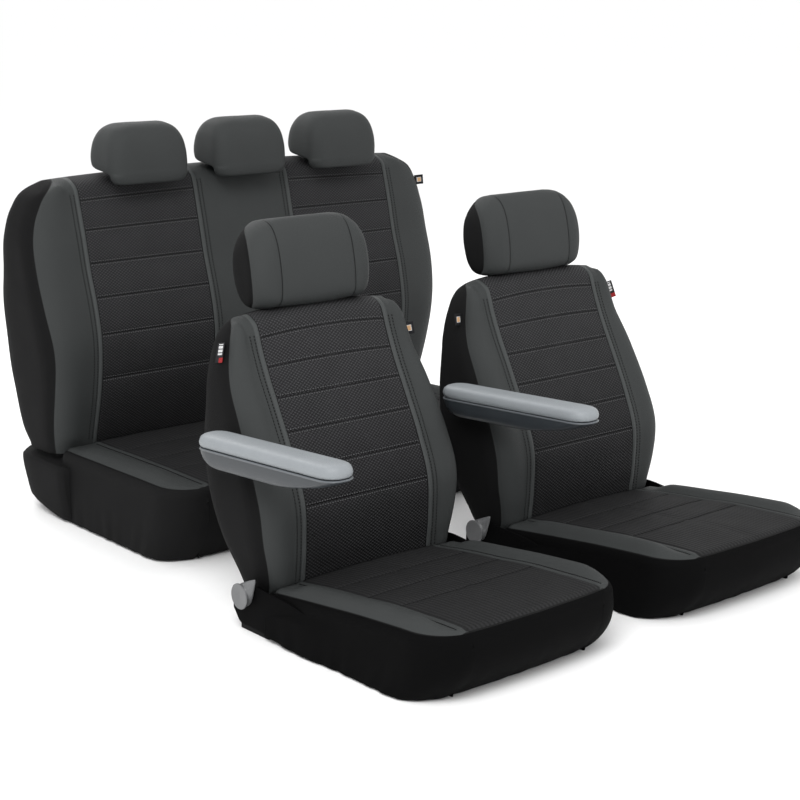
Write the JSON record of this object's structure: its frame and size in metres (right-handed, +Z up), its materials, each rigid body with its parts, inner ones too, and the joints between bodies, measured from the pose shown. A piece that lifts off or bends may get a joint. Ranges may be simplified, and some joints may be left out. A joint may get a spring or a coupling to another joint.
{
  "type": "seat cover set",
  "caption": "Fitted cloth covers on front bucket seats and a rear bench, with reclining and folding backs, sliding headrests, folding armrests and recline levers.",
  "frame": {"origin": "middle of the set's underside, on the floor that the seats stand on", "axes": "+Z up, the seats face -Y, so +X is an occupant's left, and +Y runs from the front seats to the bench"},
  "size_m": [1.5334, 1.868, 1.039],
  "materials": {
    "charcoal_cloth": "matte",
    "black_cloth": "matte",
    "foam": "matte",
    "grey_vinyl": "satin",
    "grey_plastic": "satin",
    "lever_plastic": "satin",
    "black_plastic": "satin",
    "steel": "satin",
    "painted_steel": "satin",
    "webbing": "matte",
    "tag_cloth": "matte"
  },
  "bodies": {
    "base": {"bench_cushion_cover": "charcoal_cloth", "bench_cushion_foam": "foam", "bench_hinge_shaft": "steel", "bench_seat_pan": "painted_steel", "front_left_cushion_cover": "charcoal_cloth", "front_left_cushion_foam": "foam", "front_left_cushion_strap": "webbing", "front_left_recliner_shaft": "steel", "front_left_seat_pan": "painted_steel", "front_left_side_shield_left": "black_cloth", "front_left_side_shield_right": "black_cloth", "front_right_cushion_cover": "charcoal_cloth", "front_right_cushion_foam": "foam", "front_right_cushion_strap": "webbing", "front_right_recliner_shaft": "steel", "front_right_seat_pan": "painted_steel", "front_right_side_shield_left": "black_cloth", "front_right_side_shield_right": "black_cloth"},
    "front_right_back": {"front_right_airbag_tag": "tag_cloth", "front_right_armrest_bolt": "steel", "front_right_back_cover": "charcoal_cloth", "front_right_back_foam": "foam", "front_right_back_frame": "painted_steel", "front_right_maker_tag": "tag_cloth", "front_right_post_guide_left": "black_plastic", "front_right_post_guide_right": "black_plastic"},
    "front_right_headrest": {"front_right_headrest_cover": "charcoal_cloth", "front_right_headrest_foam": "foam", "front_right_headrest_posts": "steel"},
    "front_right_armrest": {"front_right_armrest_pad": "grey_vinyl", "front_right_armrest_shell": "grey_plastic"},
    "front_right_lever": {"front_right_recline_lever": "lever_plastic"},
    "front_left_back": {"front_left_airbag_tag": "tag_cloth", "front_left_armrest_bolt": "steel", "front_left_back_cover": "charcoal_cloth", "front_left_back_foam": "foam", "front_left_back_frame": "painted_steel", "front_left_maker_tag": "tag_cloth", "front_left_post_guide_left": "black_plastic", "front_left_post_guide_right": "black_plastic"},
    "front_left_headrest": {"front_left_headrest_cover": "charcoal_cloth", "front_left_headrest_foam": "foam", "front_left_headrest_posts": "steel"},
    "front_left_armrest": {"front_left_armrest_pad": "grey_vinyl", "front_left_armrest_shell": "grey_plastic"},
    "front_left_lever": {"front_left_recline_lever": "lever_plastic"},
    "bench_back": {"bench_back_cover": "charcoal_cloth", "bench_back_foam": "foam", "bench_back_frame": "painted_steel", "bench_maker_tag": "tag_cloth"},
    "bench_right_headrest": {"bench_right_headrest_cover": "charcoal_cloth", "bench_right_headrest_foam": "foam", "bench_right_headrest_posts": "steel"},
    "bench_middle_headrest": {"bench_middle_headrest_cover": "charcoal_cloth", "bench_middle_headrest_foam": "foam", "bench_middle_headrest_posts": "steel"},
    "bench_left_headrest": {"bench_left_headrest_cover": "charcoal_cloth", "bench_left_headrest_foam": "foam", "bench_left_headrest_posts": "steel"}
  },
  "joints": [
    {"name": "front_right_recline", "type": "hinge", "parent": "base", "child": "front_right_back", "pos_m": [-0.38476, -0.337, 0.088], "axis": [1, 0, 0], "range_deg": [-30, 15]},
    {"name": "front_right_headrest_slide", "type": "slide", "parent": "front_right_back", "child": "front_right_headrest", "axis": [0, 0.1736, 0.9848], "range_m": [0, 0.06]},
    {"name": "front_right_armrest_fold", "type": "hinge", "parent": "front_right_back", "child": "front_right_armrest", "pos_m": [-0.38476, -0.28529, 0.42], "axis": [1, 0, 0], "range_deg": [-75, 0]},
    {"name": "front_right_lever_lift", "type": "hinge", "parent": "base", "child": "front_right_lever", "pos_m": [-0.38476, -0.337, 0.088], "axis": [1, 0, 0], "range_deg": [-25, 0], "stiffness_Nm_per_rad": 0.6},
    {"name": "front_left_recline", "type": "hinge", "parent": "base", "child": "front_left_back", "pos_m": [0.3342, -0.337, 0.088], "axis": [1, 0, 0], "range_deg": [-30, 15]},
    {"name": "front_left_headrest_slide", "type": "slide", "parent": "front_left_back", "child": "front_left_headrest", "axis": [0, 0.1736, 0.9848], "range_m": [0, 0.06]},
    {"name": "front_left_armrest_fold", "type": "hinge", "parent": "front_left_back", "child": "front_left_armrest", "pos_m": [0.3342, -0.28529, 0.42], "axis": [1, 0, 0], "range_deg": [-75, 0]},
    {"name": "front_left_lever_lift", "type": "hinge", "parent": "base", "child": "front_left_lever", "pos_m": [0.3342, -0.337, 0.088], "axis": [1, 0, 0], "range_deg": [-25, 0], "stiffness_Nm_per_rad": 0.6},
    {"name": "bench_fold", "type": "hinge", "parent": "base", "child": "bench_back", "pos_m": [0.06072, 0.721, 0.255], "axis": [1, 0, 0], "range_deg": [0, 25]},
    {"name": "bench_right_headrest_slide", "type": "slide", "parent": "bench_back", "child": "bench_right_headrest", "axis": [0, 0, 1], "range_m": [0, 0.05]},
    {"name": "bench_middle_headrest_slide", "type": "slide", "parent": "bench_back", "child": "bench_middle_headrest", "axis": [0, 0, 1], "range_m": [0, 0.05]},
    {"name": "bench_left_headrest_slide", "type": "slide", "parent": "bench_back", "child": "bench_left_headrest", "axis": [0, 0, 1], "range_m": [0, 0.05]}
  ]
}
